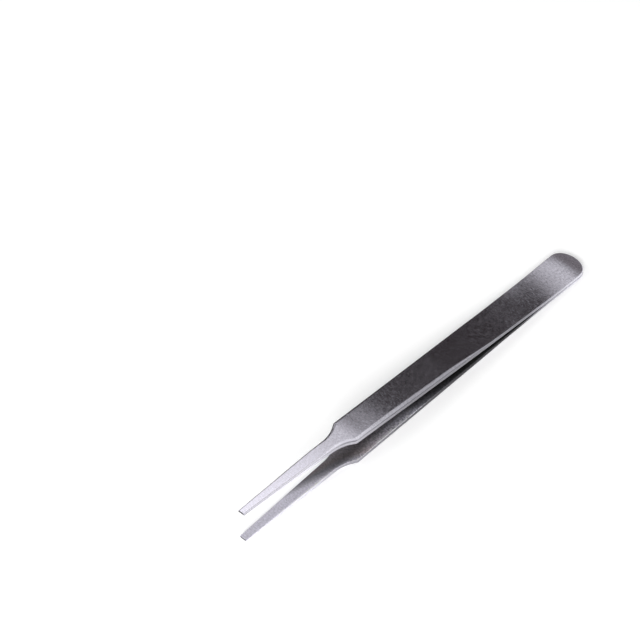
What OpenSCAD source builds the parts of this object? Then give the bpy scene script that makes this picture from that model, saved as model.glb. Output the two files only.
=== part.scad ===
// Flat-tip tweezers: two sprung steel arms, spot welded together at the butt.
// Lengths are in millimetres. The part lies at rest on its lower arm: X runs from the tips to the butt,
// Y across the arms, Z up. The origin is under the middle of the part, on the surface it lies on.
// Inside the modules x runs from the tips (0) to the end of the butt, and z up from the plane between
// the arms. The upper arm is drawn, and the lower one is its mirror image.

/* [Length] */
// Overall length, from the tips to the end of the butt
overall_len = 120; // [105:1:140]
// Length of the slender blade, from the tip to the shoulders
blade_len = 36.5; // [25:0.5:45]
// Length of the thick grip behind the shoulders
grip_len = 31.5; // [18:0.5:34]
// Length over which the outer face runs down in a soft wave from the grip to the thin spring stretch
ramp_len = 25; // [10:0.5:28]
// Length of the soft ridge by the shoulders, where the outer face turns from the blade to the grip
ridge_len = 8; // [3:0.5:12]

/* [Width] */
// Width of the square end of the tip
tip_w = 2.2; // [1:0.1:3]
// Width that the tapering blade has gained by the shoulders
blade_gain_w = 2.1; // [0.5:0.1:3]
// Width of the grip at the shoulders
shoulder_w = 8.3; // [7:0.1:9.5]
// Width that the handle would have at the very end of the butt
butt_w = 10.1; // [9:0.1:12]
// Radius of the hollow shoulders, between the blade and the grip
shoulder_r = 11; // [7:0.5:14]
// Radius of the outer corner of each shoulder
shoulder_corner_r = 1; // [0.4:0.1:1.5]
// Radius of the round end of the butt
butt_end_r = 6.2; // [5.8:0.1:9]
// Radius of the corners of the butt
butt_corner_r = 3.6; // [2:0.1:4]

/* [Thickness] */
// Thickness of the tip
tip_t = 0.5; // [0.3:0.05:0.9]
// Thickness of the grip
grip_t = 1.65; // [1.2:0.05:2.2]
// Thickness of the spring stretch and of the butt
spring_t = 0.85; // [0.6:0.05:1.1]
// Width of the bevel along the outer edges of the grip
grip_bevel = 0.55; // [0.2:0.05:0.7]
// Width of the bevel along the outer edges of the blade
blade_bevel = 0.25; // [0.1:0.05:0.28]
// Thickness that is left of each arm at the very end of the butt, where its outer face rolls down
butt_rim_t = 0.4; // [0.2:0.05:0.55]
// Length of the stretch of the outer face that rolls down
butt_roll_len = 4.5; // [3:0.25:5.5]

/* [Spring] */
// Gap between the inner faces of the tips at rest
tip_gap = 9.6; // [7:0.1:12]
// Angle between the handle of each arm and the plane between the arms
splay = 3.2; // [2.6:0.1:3.8]
// Length of the stretch along which the arms lie face to face and are welded
weld_len = 13; // [11:0.5:15]
// Length of the spring stretch in front of it, in which each arm is straight once it has left the butt
spring_len = 25; // [20:0.5:30]
// Angle between that straight stretch of each arm and the plane between the arms
root_splay = 2; // [1.2:0.1:2.6]
// Length of the bend by which each arm leaves the butt, at the rear of the spring stretch
root_len = 6; // [3:0.5:9]
// Length of the bow in front of the spring stretch, where each arm turns out to the angle of its handle
bow_len = 12; // [6:0.5:18]
// Distance from the welded stretch to the line about which each arm bends
bend_ahead = 17; // [12:0.5:18]
// Length of the flat lands that meet at the tips
land_len = 4; // [2:0.5:8]

/* [Spot welds] */
// Diameter of a spot weld
weld_d = 3.4; // [2:0.1:4]
// Thickness of a spot weld, half of it in each arm
weld_t = 0.5; // [0.2:0.05:0.8]
// Distance between the centres of the two spot welds
weld_pitch = 4.8; // [4.4:0.1:5.5]
// Distance from the end of the butt to the centre of the rear spot weld
weld_inset = 4.4; // [3.5:0.1:5]

/* [Hidden] */

$fn = 96;
// Cutters and blanks reach this far past what they cut
past = 1;
steel = "lightslategray";
weld_steel = "dimgray";

// Where each stretch starts, measured from the tips
weld_x = overall_len - weld_len;
root_x = weld_x - root_len;
spring_x = weld_x - spring_len;
bow_x = spring_x - bow_len;
ramp_x = blade_len + grip_len;
bend_x = weld_x - bend_ahead;

// Height of the inner face behind the shoulders: straight at the splay angle, then an arc,
// then straight at the root angle, then an arc, then flat
splay_slope = tan(splay);
root_slope = tan(root_splay);
spring_z = root_slope * (spring_len - root_len / 2);
bow_z = spring_z + (root_slope + splay_slope) / 2 * bow_len;
function handle_z(x) =
    x >= weld_x ? 0
    : x >= root_x ? root_slope * pow(weld_x - x, 2) / (2 * root_len)
    : x >= spring_x ? root_slope * (weld_x - x - root_len / 2)
    : x >= bow_x ? spring_z + root_slope * (spring_x - x)
        + (splay_slope - root_slope) * pow(spring_x - x, 2) / (2 * bow_len)
    : bow_z + splay_slope * (bow_x - x);

// The arcs of the inner face are cut into this many even steps each
arc_steps = 8;

// Thickness of an arm behind the shoulders: even along the grip, then a soft wave down to the spring
function arm_t(x) =
    let (way = max(0, min(1, (x - ramp_x) / ramp_len)))
    grip_t - (grip_t - spring_t) * way * way * (3 - 2 * way);

shoulder_z = handle_z(blade_len);
tip_z = tip_gap / 2;
bend_z = handle_z(bend_x);

// Angle through which each arm turns until the tips meet on the middle plane.
// The lands at the tips slope by as much at rest, so they meet flat.
bend_reach = norm([bend_x, tip_z - bend_z]);
close_angle = atan2(tip_z - bend_z, bend_x) + asin(bend_z / bend_reach);
land_z = tip_z - land_len * tan(close_angle);

// Outer faces of the blade and the grip. They would meet at the shoulder, but a soft ridge,
// an arc that touches both, runs from the one to the other.
grip_top_z = shoulder_z + grip_t;
tip_top_z = tip_z + tip_t;
blade_fall = atan((tip_top_z - grip_top_z) / blade_len);
ridge_r = ridge_len / 2 / tan((splay - blade_fall) / 2);
ridge_steps = 6;
function ridge_point(i) =
    let (fall = blade_fall + i * (splay - blade_fall) / ridge_steps)
    [blade_len, grip_top_z] + ridge_len / 2 * [-cos(blade_fall), sin(blade_fall)]
        + ridge_r * [sin(fall) - sin(blade_fall), cos(fall) - cos(blade_fall)];

// Plan outline, drawn for the edge on the +Y side.
// The blade edge starts at the tip corner and the handle edge at the shoulder point.
tip_corner = [0, tip_w / 2];
blade_yaw = atan(blade_gain_w / 2 / blade_len);
shoulder_point = [blade_len, shoulder_w / 2];
handle_yaw = atan((butt_w - shoulder_w) / 2 / (overall_len - blade_len));

// A point that is a given way along a line and a given way off to its left
function along(start, yaw, run, left) =
    start + run * [cos(yaw), sin(yaw)] + left * [-sin(yaw), cos(yaw)];
// How far a point lies along a line, and how far off to its left
function run_of(start, yaw, point) = (point - start) * [cos(yaw), sin(yaw)];
function left_of(start, yaw, point) = (point - start) * [-sin(yaw), cos(yaw)];

// Hollow of the shoulder: a circle that touches the blade edge and passes through the shoulder point
hollow_left = left_of(tip_corner, blade_yaw, shoulder_point);
hollow_run = run_of(tip_corner, blade_yaw, shoulder_point)
    - sqrt(2 * shoulder_r * hollow_left - pow(hollow_left, 2));
hollow_centre = along(tip_corner, blade_yaw, hollow_run, shoulder_r);
hollow_start = along(tip_corner, blade_yaw, hollow_run, 0);

// Corner of the shoulder: a circle that touches the handle edge from inside and the hollow from outside
corner_run = run_of(shoulder_point, handle_yaw, hollow_centre)
    + sqrt(pow(shoulder_r + shoulder_corner_r, 2)
        - pow(shoulder_corner_r + left_of(shoulder_point, handle_yaw, hollow_centre), 2));
corner_centre = along(shoulder_point, handle_yaw, corner_run, -shoulder_corner_r);
corner_end = along(shoulder_point, handle_yaw, corner_run, 0);
hollow_end = hollow_centre
    + (corner_centre - hollow_centre) * shoulder_r / (shoulder_r + shoulder_corner_r);

// Corner of the butt: a circle that touches the handle edge and the round end from inside
butt_centre = [overall_len - butt_end_r, 0];
butt_run = run_of(shoulder_point, handle_yaw, butt_centre)
    + sqrt(pow(butt_end_r - butt_corner_r, 2)
        - pow(butt_corner_r + left_of(shoulder_point, handle_yaw, butt_centre), 2));
butt_corner = along(shoulder_point, handle_yaw, butt_run, -butt_corner_r);
butt_start = along(shoulder_point, handle_yaw, butt_run, 0);
butt_end = butt_centre + (butt_corner - butt_centre) * butt_end_r / (butt_end_r - butt_corner_r);

// The outer face of the butt rolls down towards its end along an arc that starts level
butt_drop = spring_t - butt_rim_t;
roll_r = (pow(butt_roll_len, 2) + pow(butt_drop, 2)) / (2 * butt_drop);
roll_x = overall_len - butt_roll_len;
roll_steps = 10;
function roll_point(i) =
    let (run = i * butt_roll_len / roll_steps)
    [roll_x + run, spring_t - roll_r + sqrt(pow(roll_r, 2) - pow(run, 2))];

// Outer face of the upper arm seen from the side, from the end of the butt to the tip
wave_start = min(ramp_x, bow_x);
wave_steps = 30;
function wave_x(i) = wave_start + i * (weld_x - wave_start) / wave_steps;
outer_face = concat(
    [for (i = [roll_steps : -1 : 0]) roll_point(i)],
    [for (i = [wave_steps : -1 : 0]) [wave_x(i), handle_z(wave_x(i)) + arm_t(wave_x(i))]],
    [for (i = [ridge_steps : -1 : 0]) ridge_point(i)],
    [[0, tip_top_z]]);

// The part lies on the two highest places of that face, turned down on the lower arm, one on each
// side of the middle: by default the ridge by the shoulders and the rolled end of the butt.
// Of all lines that join two points across the middle, the one that passes highest there is sought.
mid_x = overall_len / 2;
function height_at_mid(a, b) = a[1] + (b[1] - a[1]) * (mid_x - a[0]) / (b[0] - a[0]);
lines = [for (a = outer_face) if (a[0] < mid_x) for (b = outer_face) if (b[0] > mid_x) [a, b]];
lie_height = max([for (line = lines) height_at_mid(line[0], line[1])]);
lie_line = [for (line = lines) if (height_at_mid(line[0], line[1]) == lie_height) line][0];
lie_tilt = atan2(lie_line[0][1] - lie_line[1][1], lie_line[1][0] - lie_line[0][0]);
lie_z = lie_line[0][0] * sin(lie_tilt) + lie_line[0][1] * cos(lie_tilt);
front_x = -tip_top_z * sin(lie_tilt);
rear_x = overall_len * cos(lie_tilt) + butt_rim_t * sin(lie_tilt);

// Set a piece down as it lies at rest
module lying() {
    translate([-(front_x + rear_x) / 2, 0, lie_z])
        rotate([0, lie_tilt, 0])
            children();
}

// What rounds off the outer corner of the shoulder on the +Y side
module shoulder_corner_cut() {
    difference() {
        polygon([hollow_end, shoulder_point + [0, shoulder_corner_r], corner_end]);
        translate(corner_centre) circle(r = shoulder_corner_r);
    }
}

// What rounds off the end of the butt
module butt_end_cut() {
    reach = 2 * (butt_end - butt_centre);
    difference() {
        translate([butt_start[0], -butt_w]) square([overall_len + past - butt_start[0], 2 * butt_w]);
        for (side = [-1, 1])
            translate([butt_corner[0], side * butt_corner[1]]) circle(r = butt_corner_r);
        translate(butt_centre) intersection() {
            circle(r = butt_end_r);
            polygon([[0, 0], reach, [reach[0], -reach[1]]]);
        }
    }
}

// Outline of an arm seen from above
module plan_outline() {
    square_end = [overall_len, butt_w / 2];
    edge = [tip_corner, hollow_start, shoulder_point, square_end];
    other_edge = [for (i = [len(edge) - 1 : -1 : 0]) [edge[i][0], -edge[i][1]]];
    difference() {
        polygon(concat(edge, other_edge));
        for (side = [0, 1]) mirror([0, side]) {
            translate(hollow_centre) circle(r = shoulder_r);
            shoulder_corner_cut();
        }
        butt_end_cut();
    }
}

// Outline of the upper arm seen from the side
module side_outline() {
    inner_face = concat(
        [[0, tip_z], [land_len, land_z], [blade_len, shoulder_z]],
        [for (arc = [[bow_x, spring_x], [root_x, weld_x]]) for (i = [0 : arc_steps])
            let (x = arc[0] + i * (arc[1] - arc[0]) / arc_steps)
            [x, handle_z(x)]]);
    end = [[overall_len + past, 0], [overall_len + past, butt_rim_t]];
    polygon(concat(inner_face, end, outer_face));
}

// Everything above a bevel plane along a straight outer edge on the +Y side.
// The edge starts at start, drops by pitch degrees and swings out by yaw degrees.
module bevel_cutter(start, pitch, yaw, width, length) {
    cutter_w = 4 * width + 2 * past;
    translate(start)
        rotate([0, pitch, yaw])
            rotate([-45, 0, 0])
                translate([-past, -cutter_w / 2, -width / sqrt(2)])
                    cube([length + 2 * past, cutter_w, cutter_w]);
}

// Bevel round the hollow of the shoulder on the +Y side
module hollow_bevel() {
    translate([hollow_centre[0], hollow_centre[1], grip_top_z - grip_bevel])
        cylinder(r1 = shoulder_r, r2 = shoulder_r + grip_bevel + past, h = grip_bevel + past);
}

// The whole upper strip, before it is divided at the line about which it bends
module upper_strip() {
    difference() {
        intersection() {
            linear_extrude(height = tip_top_z + past) plan_outline();
            translate([0, butt_w, 0]) rotate([90, 0, 0]) linear_extrude(height = 2 * butt_w) side_outline();
        }
        for (side = [0, 1]) mirror([0, side, 0]) {
            bevel_cutter([blade_len, shoulder_w / 2, grip_top_z], splay, handle_yaw, grip_bevel,
                grip_len + ramp_len);
            bevel_cutter([0, tip_w / 2, tip_top_z], blade_fall, blade_yaw, blade_bevel,
                blade_len);
            hollow_bevel();
        }
    }
}

// Discs where the arms are fused together, counted from the rear
module spot_weld(place) {
    translate([overall_len - weld_inset - place * weld_pitch, 0, -weld_t / 2])
        cylinder(d = weld_d, h = weld_t);
}

module upper_arm_blank() {
    intersection() {
        upper_strip();
        translate([-past, -butt_w, 0]) cube([bend_x + past, 2 * butt_w, tip_top_z + past]);
    }
}

module upper_tang_blank() {
    difference() {
        intersection() {
            upper_strip();
            translate([bend_x, -butt_w, 0]) cube([overall_len, 2 * butt_w, tip_top_z + past]);
        }
        for (place = [0, 1]) spot_weld(place);
    }
}

module upper_arm() { color(steel) lying() upper_arm_blank(); }
module lower_arm() { color(steel) lying() mirror([0, 0, 1]) upper_arm_blank(); }
module upper_tang() { color(steel) lying() upper_tang_blank(); }
module lower_tang() { color(steel) lying() mirror([0, 0, 1]) upper_tang_blank(); }
module front_spot_weld() { color(weld_steel) lying() spot_weld(1); }
module rear_spot_weld() { color(weld_steel) lying() spot_weld(0); }

upper_arm();
lower_arm();
upper_tang();
lower_tang();
front_spot_weld();
rear_spot_weld();
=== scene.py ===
import math

import bmesh
import bpy
from mathutils import Matrix, Vector


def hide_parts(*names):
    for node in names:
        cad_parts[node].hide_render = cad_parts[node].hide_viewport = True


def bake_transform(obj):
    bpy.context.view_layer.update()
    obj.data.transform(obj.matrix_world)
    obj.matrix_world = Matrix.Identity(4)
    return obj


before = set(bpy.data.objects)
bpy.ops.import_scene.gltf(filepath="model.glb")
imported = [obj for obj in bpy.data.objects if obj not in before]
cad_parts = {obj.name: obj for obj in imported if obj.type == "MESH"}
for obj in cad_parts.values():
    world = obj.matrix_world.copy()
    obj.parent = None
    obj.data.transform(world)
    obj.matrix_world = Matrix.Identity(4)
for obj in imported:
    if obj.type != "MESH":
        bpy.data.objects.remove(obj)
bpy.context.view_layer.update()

# Two sprung steel arms, spot welded at the butt, lying on a white table.
# The shape is worked out in millimetres, first along the middle plane between the arms: x from the
# tips (0) to the end of the butt, y across, z away from that plane. lay_down() then turns it into
# the frame of the CAD model, in metres.
MM = 0.001

# The same sizes as in the CAD source
OVERALL = 120.0
BLADE = 36.5
GRIP = 31.5
RAMP = 25.0
RIDGE = 8.0
TIP_W = 2.2
BLADE_GAIN_W = 2.1
SHOULDER_W = 8.3
BUTT_W = 10.1
SHOULDER_R = 11.0
SHOULDER_CORNER_R = 1.0
BUTT_END_R = 6.2
BUTT_CORNER_R = 3.6
TIP_T = 0.5
GRIP_T = 1.65
SPRING_T = 0.85
GRIP_BEVEL = 0.55
BLADE_BEVEL = 0.25
BUTT_RIM_T = 0.4
BUTT_ROLL = 4.5
TIP_GAP = 9.6
SPLAY = math.radians(3.2)
WELD = 13.0
SPRING = 25.0
ROOT_SPLAY = math.radians(2.0)
ROOT = 6.0
BOW = 12.0
LAND = 4.0
CLOSE_ANGLE = math.radians(3.05332)

# How the part lies: the tilt of the plane between the arms, and where that plane starts
LIE_TILT = math.radians(2.85378)
LIE_X = -59.8036
LIE_Z = 6.6265

# Finish of the edges that CAD leaves sharp
FINE_BEVEL = 0.12
INNER_ROUND = 0.08
TIP_ROUND = 0.04
# The stretch in which the bevel grows from the blade's width to the grip's
BEVEL_GROWS = (25.0, 34.0)
# Grinding leaves the outer face uneven by less than a tenth of a millimetre along the arm: how many
# degrees steeper it falls towards the butt than its plain shape does, by x
UNEVEN = [(26, 0), (30, 0.24), (34, 0.19), (38, 0.08), (42, -0.50), (46, -0.28), (50, 0.24),
          (54, 0.38), (58, 0.44), (66, 0.25), (72, -0.25), (90, -0.25), (98, 0.50), (101, 0.33),
          (104, 0.20), (107, 0.24), (110, -0.34), (113, -0.71), (116, -0.57), (118, 0)]

RAMP_X = BLADE + GRIP
WELD_X = OVERALL - WELD
ROOT_X = WELD_X - ROOT
SPRING_X = WELD_X - SPRING
BOW_X = SPRING_X - BOW
ROLL_X = OVERALL - BUTT_ROLL


def clamp(value, low=0.0, high=1.0):
    return max(low, min(high, value))


def smooth(value):
    value = clamp(value)
    return value * value * (3 - 2 * value)


def mix(a, b, way):
    return a + (b - a) * way


# ---------------------------------------------------------------- faces seen from the side

def handle_z(x):
    """Height of the inner face behind the shoulders, from the front: straight, bow, straight, bend
    and flat."""
    slope, root_slope = math.tan(SPLAY), math.tan(ROOT_SPLAY)
    spring_z = root_slope * (SPRING - ROOT / 2)
    bow_z = spring_z + (root_slope + slope) / 2 * BOW
    if x >= WELD_X:
        return 0.0
    if x >= ROOT_X:
        return root_slope * (WELD_X - x) ** 2 / (2 * ROOT)
    if x >= SPRING_X:
        return root_slope * (WELD_X - x - ROOT / 2)
    if x >= BOW_X:
        run = SPRING_X - x
        return spring_z + root_slope * run + (slope - root_slope) * run ** 2 / (2 * BOW)
    return bow_z + slope * (BOW_X - x)


SHOULDER_Z = handle_z(BLADE)
LAND_Z = TIP_GAP / 2 - LAND * math.tan(CLOSE_ANGLE)
TIP_TOP = TIP_GAP / 2 + TIP_T
GRIP_TOP = SHOULDER_Z + GRIP_T
BLADE_FALL = math.atan((TIP_TOP - GRIP_TOP) / BLADE)
RIDGE_R = RIDGE / 2 / math.tan((SPLAY - BLADE_FALL) / 2)
RIDGE_START = BLADE - RIDGE / 2 * math.cos(BLADE_FALL)
RIDGE_CENTRE = (RIDGE_START - RIDGE_R * math.sin(BLADE_FALL),
                GRIP_TOP + RIDGE / 2 * math.sin(BLADE_FALL) - RIDGE_R * math.cos(BLADE_FALL))
RIDGE_END = RIDGE_CENTRE[0] + RIDGE_R * math.sin(SPLAY)
BUTT_DROP = SPRING_T - BUTT_RIM_T
ROLL_R = (BUTT_ROLL ** 2 + BUTT_DROP ** 2) / (2 * BUTT_DROP)
# Every outer face stays this far inside the CAD model, whose arcs are cut into steps
SHY = 0.002


def inner_z(x):
    """Height of the face that looks at the other arm."""
    if x <= LAND:
        return mix(TIP_GAP / 2, LAND_Z, x / LAND)
    if x <= BLADE:
        return mix(LAND_Z, SHOULDER_Z, (x - LAND) / (BLADE - LAND))
    return handle_z(x)


def dip(x):
    """How far the uneven outer face lies below its plain shape."""
    depth = 0.0
    for (xa, a), (xb, b) in zip(UNEVEN, UNEVEN[1:]):
        run = clamp(x - xa, 0, xb - xa)
        depth += math.radians(a * run + (b - a) * run * run / (2 * (xb - xa)))
    return depth


def outer_z(x):
    """Height of the face that the fingers hold."""
    if x <= RIDGE_START:
        flat = TIP_TOP - x * math.tan(BLADE_FALL)
    elif x <= RIDGE_END:
        flat = RIDGE_CENTRE[1] + math.sqrt(RIDGE_R ** 2 - (x - RIDGE_CENTRE[0]) ** 2)
    else:
        flat = handle_z(x) + mix(GRIP_T, SPRING_T, smooth((x - RAMP_X) / RAMP))
    rolled = max(0.0, x - ROLL_X)
    flat -= ROLL_R - math.sqrt(ROLL_R ** 2 - rolled ** 2)
    return flat - dip(x) - SHY


def bevel_leg(x):
    """Width of the bevel along the outer edges: narrow on the blade, wide on the grip, and running
    out on the ramp, where the outer face drops below the line that the bevel was ground along."""
    if x < BLADE:
        start, end = BEVEL_GROWS
        return mix(BLADE_BEVEL, GRIP_BEVEL, smooth((x - start) / (end - start)))
    if x > RAMP_X + RAMP:
        return FINE_BEVEL
    ground_line = GRIP_TOP - (x - BLADE) * math.tan(SPLAY)
    return max(FINE_BEVEL, GRIP_BEVEL - (ground_line - outer_z(x)))


# ---------------------------------------------------------------- outline seen from above

class Line:
    """A straight edge in plan, with the steel on its right."""

    def __init__(self, start, yaw):
        self.start, self.yaw = Vector(start), yaw
        self.ahead = Vector((math.cos(yaw), math.sin(yaw)))
        self.left = Vector((-math.sin(yaw), math.cos(yaw)))

    def point(self, run, left=0.0):
        return self.start + run * self.ahead + left * self.left

    def run_of(self, point):
        return (Vector(point) - self.start).dot(self.ahead)

    def left_of(self, point):
        return (Vector(point) - self.start).dot(self.left)


def arc(centre, radius, start, end, steps, hollow=False):
    """Points from start to end round a centre, each with the direction that leaves the steel."""
    (ax, ay), (bx, by) = Vector(start) - centre, Vector(end) - centre
    a, b = math.atan2(ay, ax), math.atan2(by, bx)
    points = []
    for i in range(1, steps + 1):
        turn = mix(a, b, i / steps)
        out = Vector((math.cos(turn), math.sin(turn)))
        points.append((centre + radius * out, -out if hollow else out))
    return points


def straight(line, start, end):
    """Points about 1 mm apart along a straight edge from start to end, the first left out."""
    run_a, run_b = line.run_of(start), line.run_of(end)
    count = max(1, round(run_b - run_a))
    return [(line.point(mix(run_a, run_b, i / count)), line.left) for i in range(1, count + 1)]


def outline():
    """Half of the outline, on the +y side, from the tip corner to the end of the butt."""
    blade = Line((0, TIP_W / 2), math.atan(BLADE_GAIN_W / 2 / BLADE))
    handle = Line((BLADE, SHOULDER_W / 2), math.atan((BUTT_W - SHOULDER_W) / 2 / (OVERALL - BLADE)))

    left = blade.left_of(handle.start)
    hollow_run = blade.run_of(handle.start) - math.sqrt(2 * SHOULDER_R * left - left ** 2)
    hollow_centre = blade.point(hollow_run, SHOULDER_R)
    hollow_start = blade.point(hollow_run)

    reach = math.sqrt((SHOULDER_R + SHOULDER_CORNER_R) ** 2
                      - (SHOULDER_CORNER_R + handle.left_of(hollow_centre)) ** 2)
    corner_run = handle.run_of(hollow_centre) + reach
    corner_centre = handle.point(corner_run, -SHOULDER_CORNER_R)
    hollow_end = hollow_centre.lerp(corner_centre, SHOULDER_R / (SHOULDER_R + SHOULDER_CORNER_R))

    end_centre = Vector((OVERALL - BUTT_END_R, 0))
    reach = math.sqrt((BUTT_END_R - BUTT_CORNER_R) ** 2
                      - (BUTT_CORNER_R + handle.left_of(end_centre)) ** 2)
    butt_run = handle.run_of(end_centre) + reach
    butt_corner = handle.point(butt_run, -BUTT_CORNER_R)
    butt_end = end_centre + (butt_corner - end_centre) * BUTT_END_R / (BUTT_END_R - BUTT_CORNER_R)

    points = [(blade.point(run), blade.left) for run in (0, TIP_ROUND, 2.5 * TIP_ROUND)]
    points += straight(blade, points[-1][0], hollow_start)
    points += arc(hollow_centre, SHOULDER_R, hollow_start, hollow_end, 16, hollow=True)
    points += arc(corner_centre, SHOULDER_CORNER_R, hollow_end, handle.point(corner_run), 8)
    points += straight(handle, points[-1][0], handle.point(butt_run))
    points += arc(butt_corner, BUTT_CORNER_R, points[-1][0], butt_end, 16)
    points += arc(end_centre, BUTT_END_R, butt_end, (OVERALL, 0), 12)[:-1]
    return points


# ---------------------------------------------------------------- arms

# How far the bevel's profile lies in from the edge and down from the outer face, in bevel widths
SOFT = 0.2
BEVEL = [(1.7, 0.0), (1 + SOFT, 0.0), (1.02, 0.04), (1 - 0.7 * SOFT, 0.7 * SOFT),
         (0.7 * SOFT, 1 - 0.7 * SOFT), (0.04, 1.02), (0.0, 1 + SOFT)]
# The same for the rounded edge of the inner face: in from the edge and up, in widths of that round
INNER_EDGE = [(0, 1.0), (0.3, 0.3), (1.0, 0.0), (2.2, 0.0)]
# Faces across the outer face, and as many across the inner one
COLUMNS = 16
# Kinds of faces, each with a material of its own. A rim is what lies between bevel and side, and
# the ends of the strip.
OUTER, SIDE, INNER, BEVELLED, RIM = range(5)
# Painted shade: the outer face is as dark as a rim over this many rows of faces at the tip
PAINTED_TIP_SHADE_ROWS = 2


def edge_profile(point, out, side):
    """The rounded edge at a point of the outline, from the outer face down to the inner face."""
    leg = bevel_leg(point.x)
    ring = []
    for inset, drop in BEVEL:
        x, y = point - out * inset * leg
        ring.append(Vector((x, side * y, outer_z(x) - drop * leg)))
    for inset, rise in INNER_EDGE:
        x, y = point - out * inset * INNER_ROUND
        ring.append(Vector((x, side * y, inner_z(x) + rise * INNER_ROUND)))
    return ring


def section(point, out):
    """A closed loop round an arm: outer face, +y edge, inner face, -y edge."""
    plus, minus = edge_profile(point, out, 1), edge_profile(point, out, -1)
    outer = [minus[0].lerp(plus[0], i / COLUMNS) for i in range(1, COLUMNS)]
    for place in outer:
        place.z = outer_z(place.x)
    inner = [plus[-1].lerp(minus[-1], i / COLUMNS) for i in range(1, COLUMNS)]
    return minus[:1] + outer + plus + inner + minus[:0:-1]


def lay_down(point, flip):
    """From the middle plane between the arms to the frame of the CAD model."""
    x, y, z = point.x, point.y, point.z * flip
    return Vector((x * math.cos(LIE_TILT) + z * math.sin(LIE_TILT) + LIE_X, y,
                   z * math.cos(LIE_TILT) - x * math.sin(LIE_TILT) + LIE_Z)) * MM


def shrink(loop, by):
    """The loop drawn in all round, for the first section at the tip."""
    middle = sum(loop, Vector()) / len(loop)
    half_w = max(abs(p.y) for p in loop)
    half_t = (max(p.z for p in loop) - min(p.z for p in loop)) / 2
    return [Vector((0, p.y * (1 - by / half_w), middle.z + (p.z - middle.z) * (1 - by / half_t)))
            for p in loop]


def make_arm(name, flip):
    """One strip of steel, as a mesh of quads with a UV map in centimetres along and across it."""
    points = outline()
    loops = [section(point, out) for point, out in points]
    loops[0] = shrink(loops[0], TIP_ROUND)
    count = len(loops[0])
    side_count = len(BEVEL) + len(INNER_EDGE)
    edge = [BEVELLED] * (len(BEVEL) - 3) + [RIM, RIM, SIDE, INNER, INNER, INNER]
    kinds = [OUTER] * COLUMNS + edge + [INNER] * COLUMNS + edge[::-1]

    mesh = bmesh.new()
    uv = mesh.loops.layers.uv.new("Strip")
    rows = [[mesh.verts.new(lay_down(p, flip)) for p in loop] for loop in loops]

    # Distance round the loop from the middle of the outer face
    around = []
    for loop in loops:
        runs = [0.0]
        for i in range(count):
            runs.append(runs[-1] + (loop[(i + 1) % count] - loop[i]).length)
        around.append([run - runs[COLUMNS] / 2 for run in runs])

    def face(corners, places, kind):
        if flip < 0:
            corners, places = corners[::-1], places[::-1]
        made = mesh.faces.new(corners)
        made.smooth = True
        made.material_index = kind
        for corner, place in zip(made.loops, places):
            corner[uv].uv = (place[0] / 10, place[1] / 10)

    for i in range(len(rows) - 1):
        xa, xb = points[i][0].x, points[i + 1][0].x
        for j in range(count):
            k = (j + 1) % count
            # Faces of the outer face at the tip take the rim's painted shade
            face([rows[i][j], rows[i + 1][j], rows[i + 1][k], rows[i][k]],
                 [(xa, around[i][j]), (xb, around[i + 1][j]),
                  (xb, around[i + 1][j + 1]), (xa, around[i][j + 1])],
                 RIM if i < PAINTED_TIP_SHADE_ROWS and kinds[j] == OUTER else kinds[j])

    def close(row, loop, x, turned):
        """Fills the end of the strip with a grid between its two edges."""
        grid = [row[:COLUMNS + 1]]
        for k in range(1, side_count - 1):
            minus, plus = count - k, COLUMNS + k
            between = [mesh.verts.new(lay_down(loop[minus].lerp(loop[plus], i / COLUMNS), flip))
                       for i in range(1, COLUMNS)]
            grid.append([row[minus]] + between + [row[plus]])
        last = COLUMNS + side_count - 1
        grid.append(row[last:last + COLUMNS + 1][::-1])
        for a, b in zip(grid, grid[1:]):
            for i in range(COLUMNS):
                corners = [a[i], a[i + 1], b[i + 1], b[i]]
                places = [(x, i - COLUMNS / 2)] * 4
                face(corners[::-1] if turned else corners, places, RIM)

    close(rows[0], loops[0], 0, False)
    close(rows[-1], loops[-1], OVERALL, True)

    data = bpy.data.meshes.new(name)
    mesh.to_mesh(data)
    mesh.free()
    arm = bpy.data.objects.new(name, data)
    bpy.context.scene.collection.objects.link(arm)
    return arm


# ---------------------------------------------------------------- materials

def new_material(name):
    """An empty material: its nodes and links, and its output."""
    material = bpy.data.materials.new(name)
    material.use_nodes = True
    nodes, links = material.node_tree.nodes, material.node_tree.links
    nodes.clear()
    return material, nodes, links, nodes.new("ShaderNodeOutputMaterial")


def map_range(nodes, links, value, start, end, low, high, smoothly=False):
    """A number that goes from low to high while value goes from start to end."""
    ramp = nodes.new("ShaderNodeMapRange")
    if smoothly:
        ramp.interpolation_type = "SMOOTHSTEP"
    numbers = {"From Min": start, "From Max": end, "To Min": low, "To Max": high}
    for socket, number in numbers.items():
        ramp.inputs[socket].default_value = number
    links.new(value, ramp.inputs["Value"])
    return ramp.outputs[0]


def calculate(nodes, links, operation, *values):
    """The result of a math operation on values from other nodes."""
    node = nodes.new("ShaderNodeMath")
    node.operation = operation
    for value, socket in zip(values, node.inputs):
        links.new(value, socket)
    return node.outputs[0]


def colour_ramp(nodes, links, value, stops):
    """A colour by value, given at stops between 0 and 1."""
    ramp = nodes.new("ShaderNodeValToRGB")
    marks = ramp.color_ramp.elements
    while len(marks) < len(stops):
        marks.new(0.5)
    for mark, (position, colour) in zip(marks, stops):
        mark.position, mark.color = position, (*colour, 1)
    links.new(value, ramp.inputs[0])
    return ramp.outputs[0]


def split(nodes, links, place):
    """The X, Y and Z of a place."""
    parts = nodes.new("ShaderNodeSeparateXYZ")
    links.new(place, parts.inputs[0])
    return parts.outputs


def solid_place(nodes, links):
    """Where a point lies in its own object, in metres."""
    return split(nodes, links, nodes.new("ShaderNodeTexCoord").outputs["Object"])


# Waves of the colour's grain in a centimetre along and across the strip
GRAIN = (27, 15)
# The grain is fainter on the blade and grows to its full strength here, in cm from the tips
GRAIN_GROWS = (2.5, 4.5)
# Noise stays mostly between these values
NOISE_RANGE = (0.3, 0.7)
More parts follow.
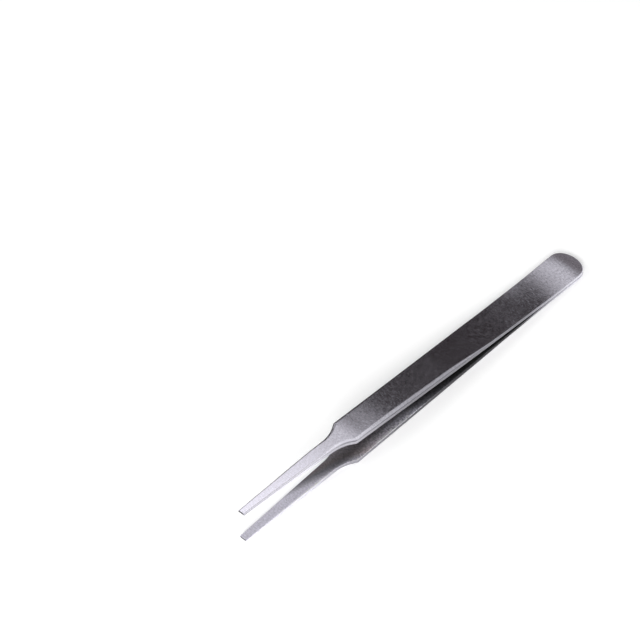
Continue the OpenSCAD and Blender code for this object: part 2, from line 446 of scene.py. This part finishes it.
# Height of the streaks that the steel's relief is made of, in metres
STREAK_HEIGHT = 0.000005
# The lines that colours follow lose their slant here, in cm from the tips, but for a share of it
SLANT_FALLS = (3.0, 4.4)
SLANT_KEPT = 0.26
# Where painted light can make a face brighter, in metres across the strip
PAINTED_LIGHT_SPAN = (-0.0008, -0.0058)


def steel(name, colours, roughness, streaks=(36, 7), gloss_change=0.03, shade=0.33, relief=0.24,
          blade_grain=0.4, slant=0.0, painted_edge_light=1.0):
    """Ground steel: fine streaks across the strip that change its gloss and its slope, and coarser
    ones that change its colour.
    The colours are given by x along the strip and hold painted light and shade: the tones of the
    reflections and of the shade between the arms. The lines that they follow slant by this much on
    the blade and less on the grip, and painted light makes the colours brighter towards the edge on
    the -y side."""
    material, nodes, links, output = new_material(name)
    shader = nodes.new("ShaderNodeBsdfPrincipled")
    shader.inputs["Metallic"].default_value = 1.0
    links.new(shader.outputs[0], output.inputs[0])

    place = nodes.new("ShaderNodeUVMap")
    place.uv_map = "Strip"
    along = split(nodes, links, place.outputs[0])["X"]
    across = solid_place(nodes, links)["Y"]

    def noise(waves):
        """Noise with its own number of waves per centimetre along and across the strip."""
        stretch = nodes.new("ShaderNodeMapping")
        stretch.inputs["Scale"].default_value = (*waves, 1)
        texture = nodes.new("ShaderNodeTexNoise")
        texture.inputs["Scale"].default_value = 1.0
        texture.inputs["Detail"].default_value = 3
        links.new(place.outputs[0], stretch.inputs[0])
        links.new(stretch.outputs[0], texture.inputs["Vector"])
        return texture.outputs["Fac"]

    # The colour with its painted light and shade, by centimetres along the strip
    slope = map_range(nodes, links, along, *SLANT_FALLS, slant * 100, slant * 100 * SLANT_KEPT)
    slanted = calculate(nodes, links, "MULTIPLY_ADD", across, slope, along)
    plain = colour_ramp(nodes, links, map_range(nodes, links, slanted, 0, OVERALL / 10, 0, 1),
                        [(x / OVERALL, colour) for x, colour in colours])

    tint = nodes.new("ShaderNodeMixRGB")
    tint.blend_type = "MULTIPLY"
    tint.inputs[2].default_value = (1 - shade, 1 - shade, 1 - shade, 1)
    links.new(calculate(nodes, links, "MULTIPLY",
                        map_range(nodes, links, noise(GRAIN), *NOISE_RANGE, 0, 1),
                        map_range(nodes, links, along, *GRAIN_GROWS, blade_grain, 1)),
              tint.inputs[0])
    links.new(plain, tint.inputs[1])
    final = nodes.new("ShaderNodeVectorMath")
    final.operation = "SCALE"
    links.new(tint.outputs[0], final.inputs[0])
    # Painted light: the colour grows brighter towards the edge on the -y side
    links.new(map_range(nodes, links, across, *PAINTED_LIGHT_SPAN, 1, painted_edge_light, smoothly=True),
              final.inputs["Scale"])
    links.new(final.outputs[0], shader.inputs["Base Color"])

    streak = noise(streaks)
    links.new(map_range(nodes, links, streak, *NOISE_RANGE,
                        roughness - gloss_change, roughness + gloss_change),
              shader.inputs["Roughness"])
    bump = nodes.new("ShaderNodeBump")
    bump.inputs["Strength"].default_value = relief
    bump.inputs["Distance"].default_value = STREAK_HEIGHT
    links.new(streak, bump.inputs["Height"])
    links.new(bump.outputs[0], shader.inputs["Normal"])
    return material


def grey(level):
    """The colour of steel at a level of brightness."""
    return (level, level * 0.98, level * 1.08)


# Painted reflection: the outer face's steel colour changes along the strip to give the tones that
# its reflections need
outer_steel_painted_shading = steel("outer_face_steel_painted_shading", [(20, grey(0.82)), (32, grey(0.76)), (40, grey(0.88)),
                                         (60, grey(0.79)), (104, grey(0.83)),
                                         (112, grey(0.92))], 0.11)
# Painted light and shade: the bevels are light at the shoulders and the butt and dark along the
# grip
bevel_steel_painted_shading = steel("bevel_steel_painted_shading", [(22, grey(0.78)), (34, grey(0.85)), (46, grey(0.53)),
                                    (56, grey(0.41)), (98, grey(0.38)), (112, grey(0.75))], 0.25)
# Painted shade: the rims are nearly black at the tip's end and dark along the grip; painted light
# makes them pale at the butt
rim_steel_painted_shading = steel("rim_steel_painted_shading", [(0, grey(0.05)), (2, grey(0.50)), (36, grey(0.30)),
                                  (50, grey(0.15)), (98, grey(0.15)), (113, grey(0.80))], 0.3)
# Painted light and shade: the upper arm's sides are pale on the blade and at the butt and darker
# along the grip
upper_side_steel_painted_shading = steel("upper_side_steel_painted_shading", [(21, grey(0.95)), (28, grey(0.60)), (36, grey(0.60)),
                                              (46, grey(0.44)), (56, grey(0.32)), (98, grey(0.34)),
                                              (113, grey(0.95))], 0.3)
# Painted shade: the lower arm's sides darken to nearly black along the grip and are pale on the
# blade and at the butt
lower_side_steel_painted_shading = steel("lower_side_steel_painted_shading", [(20, grey(0.95)), (32, grey(0.50)), (46, grey(0.28)),
                                              (56, grey(0.16)), (66, grey(0.11)), (75, grey(0.07)),
                                              (93, grey(0.06)), (104, grey(0.50)),
                                              (113, grey(0.95))], 0.3)
# Painted shade between the arms: the inner faces are pale on the blades and darken to black deep in
# the gap, warmer where they darken. Painted light brightens them towards the -y edge, and the lines
# of this shade slant across the strip.
inner_steel_painted_shading = steel("inner_face_steel_painted_shading", [(12, grey(0.925)), (16, grey(0.925)), (20, grey(0.925)),
                                         (24, grey(0.54)), (28, grey(0.29)),
                                         (33, (0.285, 0.257, 0.265)), (40, (0.37, 0.35, 0.375)),
                                         (49, grey(0.34)), (53, grey(0.27)),
                                         (56, grey(0.146)), (61, grey(0.068)),
                                         (70, (0.028, 0.028, 0.028))],
                    0.60, streaks=(30, 9), shade=0.68, blade_grain=0.42, slant=3.8, painted_edge_light=5.5)
weld_steel = steel("weld_steel", [(0, grey(0.35)), (120, grey(0.35))], 0.5)

upper = make_arm("upper_strip", 1)
lower = make_arm("lower_strip", -1)
for arm, side_steel in ((upper, upper_side_steel_painted_shading), (lower, lower_side_steel_painted_shading)):
    for material in (outer_steel_painted_shading, side_steel, inner_steel_painted_shading, bevel_steel_painted_shading, rim_steel_painted_shading):
        arm.data.materials.append(material)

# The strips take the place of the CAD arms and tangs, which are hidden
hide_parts("upper_arm", "upper_tang")
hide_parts("lower_arm", "lower_tang")
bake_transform(upper)
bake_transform(lower)

for name in ("front_spot_weld", "rear_spot_weld"):
    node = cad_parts[name]
    node.data.materials.clear()
    node.data.materials.append(weld_steel)

# ---------------------------------------------------------------- table, light and camera

# Strength of the even light from all sides
WORLD_LIGHT = 0.55
# The table's own paint, and the glow on top of it that only the camera and reflections see
TABLE_PAINT = 0.8
TABLE_GLOW = 0.29


def seen_white(nodes, links):
    """1 for what the camera sees, straight or in a reflection, and 0 for what lights the scene."""
    path = nodes.new("ShaderNodeLightPath").outputs
    seen = path["Is Camera Ray"]
    for ray in ("Is Glossy Ray", "Is Transmission Ray"):
        seen = calculate(nodes, links, "MAXIMUM", seen, path[ray])
    return seen


def rectangle(x0, y0, x1, y1):
    """The corners of a level rectangle."""
    return [(x0, y0, 0), (x1, y0, 0), (x1, y1, 0), (x0, y1, 0)]


def make_sheet(name, corners, material):
    """A flat sheet with four corners, not yet put into the scene."""
    data = bpy.data.meshes.new(name)
    data.from_pydata(corners, [], [(0, 1, 2, 3)])
    data.materials.append(material)
    return bpy.data.objects.new(name, data)


def make_world():
    world = bpy.data.worlds.new("studio")
    world.use_nodes = True
    nodes, links = world.node_tree.nodes, world.node_tree.links
    background = nodes["Background"]
    background.inputs["Color"].default_value = (1, 1, 1, 1)
    links.new(map_range(nodes, links, seen_white(nodes, links), 0, 1, WORLD_LIGHT, 1),
              background.inputs["Strength"])
    bpy.context.scene.world = world


def make_table():
    """A white table. Its own paint is pale, and a glow that lights nothing adds the rest."""
    material, nodes, links, output = new_material("table_white")
    paint = nodes.new("ShaderNodeBsdfDiffuse")
    paint.inputs["Color"].default_value = (TABLE_PAINT, TABLE_PAINT, TABLE_PAINT, 1)
    glow = nodes.new("ShaderNodeEmission")
    links.new(map_range(nodes, links, seen_white(nodes, links), 0, 1, 0, TABLE_GLOW),
              glow.inputs["Strength"])
    both = nodes.new("ShaderNodeAddShader")
    links.new(paint.outputs[0], both.inputs[0])
    links.new(glow.outputs[0], both.inputs[1])
    links.new(both.outputs[0], output.inputs[0])
    table = make_sheet("table", rectangle(-3, -3, 3, 3), material)
    bpy.context.scene.collection.objects.link(table)


def make_lamp(name, place, size, power):
    """A soft round lamp that looks at the part."""
    data = bpy.data.lights.new(name, "AREA")
    data.shape = "DISK"
    data.size = size
    data.energy = power
    lamp = bpy.data.objects.new(name, data)
    aim = (-Vector(place)).to_track_quat("-Z", "Y").to_matrix().to_4x4()
    lamp.matrix_world = Matrix.Translation(place) @ aim
    lamp.visible_glossy = False
    bpy.context.scene.collection.objects.link(lamp)


# What stands beyond the butt, which only reflections show: brightness by height above the table in
# metres. A dark wall, and windows over it that fade into a dim ceiling.
WALL_SHADES = [(0.0, 0.03), (0.550, 0.03), (0.560, 0.05), (0.572, 0.47), (0.584, 0.86),
               (0.596, 0.93), (0.608, 0.79), (0.620, 0.62), (0.632, 0.60), (0.644, 0.78),
               (0.656, 1.06), (0.668, 1.31), (0.680, 1.42), (0.700, 1.35), (0.730, 1.13),
               (0.780, 0.85), (0.850, 0.58), (0.950, 0.35), (1.1, 0.17), (1.5, 0.03)]
BUTT_CARD_SHADES = [(0.030, 0.22), (0.036, 0.21), (0.040, 0.19), (0.047, 0.175), (0.055, 0.22),
                    (0.064, 0.37), (0.068, 0.43)]
# The same for the round wall by its height, and for the ceiling by x
ROUND_WALL_SHADES = [(0.0, 0.20), (0.12, 0.30), (0.22, 0.48), (0.32, 0.40), (0.42, 0.52),
                     (0.56, 0.80), (0.74, 0.95), (0.9, 1.0)]
CEILING_SHADES = [(-0.4, 0.95), (-0.2, 0.75), (-0.08, 0.50), (0.04, 0.36), (0.16, 0.50),
                  (0.28, 0.75), (0.4, 0.95)]
# Ramps hold colours up to 1, so the cards glow this many times as bright
CARD_GAIN = 2.0
# Shades turn warm from the first of these values down to the second
WARM_SHADES = (0.30, 0.03)
CARD_BEARING = math.radians(42)


def show_in_reflections(card):
    """Puts a card on the stage that nothing but a reflection shows."""
    card.visible_camera = False
    card.visible_diffuse = False
    card.visible_shadow = False
    bpy.context.scene.collection.objects.link(card)


def card_material(name, axis, shades, fade=None):
    """A glow whose brightness is given by the place along one axis of the card, in metres. The card
    turns clear over the stretch that fade gives."""
    material, nodes, links, output = new_material(name)
    place = solid_place(nodes, links)[axis]
    start, end = shades[0][0], shades[-1][0]
    stops = []
    for level, shade in shades:
        warm = clamp((WARM_SHADES[0] - shade) / (WARM_SHADES[0] - WARM_SHADES[1]))
        colour = (shade, shade * (0.99 - 0.15 * warm), shade * (1.01 - 0.13 * warm))
        stops.append(((level - start) / (end - start), [part / CARD_GAIN for part in colour]))
    glow = nodes.new("ShaderNodeEmission")
    glow.inputs["Strength"].default_value = CARD_GAIN
    way = map_range(nodes, links, place, start, end, 0, 1)
    links.new(colour_ramp(nodes, links, way, stops), glow.inputs["Color"])
    seen = glow.outputs[0]
    if fade:
        clear = nodes.new("ShaderNodeMixShader")
        links.new(map_range(nodes, links, place, *fade, 0, 1, smoothly=True), clear.inputs[0])
        links.new(seen, clear.inputs[1])
        links.new(nodes.new("ShaderNodeBsdfTransparent").outputs[0], clear.inputs[2])
        seen = clear.outputs[0]
    links.new(seen, output.inputs[0])
    return material


def make_card(name, distance, left, right, height, material):
    """An upright card that faces the part across the butt and shows only in reflections. Its own x
    runs along it, to the left as seen from the part, and its z upwards."""
    corners = [(left, 0, 0), (right, 0, 0), (right, 0, height), (left, 0, height)]
    card = make_sheet(name, corners, material)
    card.matrix_world = (Matrix.Rotation(CARD_BEARING, 4, "Z")
                         @ Matrix.Translation((distance, 0, 0))
                         @ Matrix.Rotation(math.radians(90), 4, "Z"))
    show_in_reflections(card)


def make_dark_sheet():
    """A dark sheet on the table, left of the part, that shows only in reflections: it gives the far
    edges their dark line."""
    material, nodes, links, output = new_material("dark_sheet_glow")
    glow = nodes.new("ShaderNodeEmission")
    glow.inputs["Color"].default_value = (0.04, 0.04, 0.04, 1)
    links.new(glow.outputs[0], output.inputs[0])
    sheet = make_sheet("dark_sheet", rectangle(-0.037, 0.0055, 0.06, 0.09), material)
    sheet.location.z = 0.0002
    show_in_reflections(sheet)


def make_round_wall():
    """A round grey wall behind the camera and on the left. With the ceiling it gives the steel its
    shades where it is seen from other sides. The main picture's reflections hardly show it."""
    radius, height, first, last, steps = 0.8, 0.9, math.radians(82), math.radians(275), 32
    turns = [mix(first, last, i / steps) for i in range(steps + 1)]
    data = bpy.data.meshes.new("round_wall")
    data.from_pydata([(radius * math.cos(turn), radius * math.sin(turn), z)
                      for turn in turns for z in (0, height)], [],
                     [(2 * i, 2 * i + 2, 2 * i + 3, 2 * i + 1) for i in range(steps)])
    data.materials.append(card_material("round_wall_shades", "Z", ROUND_WALL_SHADES))
    show_in_reflections(bpy.data.objects.new("round_wall", data))


def make_ceiling():
    material = card_material("ceiling_shades", "X", CEILING_SHADES)
    ceiling = make_sheet("ceiling", rectangle(-0.4, -0.4, 0.4, 0.4), material)
    ceiling.location.z = 1.2
    show_in_reflections(ceiling)


def make_camera():
    """The camera looks down over the butt's left, from far away. Its axes are given along the arms,
    across them and up from the plane between them."""
    right = Vector((0.70018, -0.71319, -0.03302))
    up = Vector((0.55989, 0.51975, 0.64518))
    back = right.cross(up).normalized()
    distance = 2.0
    pixels = 640
    focal_px = 7942
    # Where the middle of the part appears in the picture
    seen_at = (411.2, 390.7)
    turn = Matrix.Rotation(LIE_TILT, 3, "Y")
    right, up, back = turn @ right, turn @ up, turn @ back
    middle = lay_down(Vector((OVERALL / 2, 0, 0)), 1)
    data = bpy.data.cameras.new("camera")
    data.sensor_width = 36
    data.lens = focal_px / pixels * data.sensor_width
    data.clip_start, data.clip_end = 0.1, 20
    ahead = (-back * focal_px + right * (pixels / 2 - seen_at[0])
             - up * (pixels / 2 - seen_at[1])).normalized()
    across = (right - right.dot(ahead) * ahead).normalized()
    camera = bpy.data.objects.new("camera", data)
    camera.matrix_world = Matrix.Translation(middle + back * distance) @ Matrix(
        (across, across.cross(ahead), -ahead)).transposed().to_4x4()
    bpy.context.scene.collection.objects.link(camera)
    bpy.context.scene.camera = camera


make_world()
make_table()
make_lamp("right_lamp", (-0.53, -0.45, 0.42), 0.4, 4.8)
make_lamp("left_lamp", (-0.68, 0.30, 0.42), 0.4, 2.1)
make_card("wall", 0.56, -0.10, 0.45, 1.5, card_material("wall_shades", "Z", WALL_SHADES))
# A low grey card close to the butt, which only its rolled end shows
make_card("butt_card", 0.10, -0.075, -0.005, 0.068,
          card_material("butt_card_shades", "Z", BUTT_CARD_SHADES, fade=(0.0645, 0.0675)))
make_dark_sheet()
make_round_wall()
make_ceiling()
make_camera()
bpy.context.scene.view_settings.view_transform = "Standard"
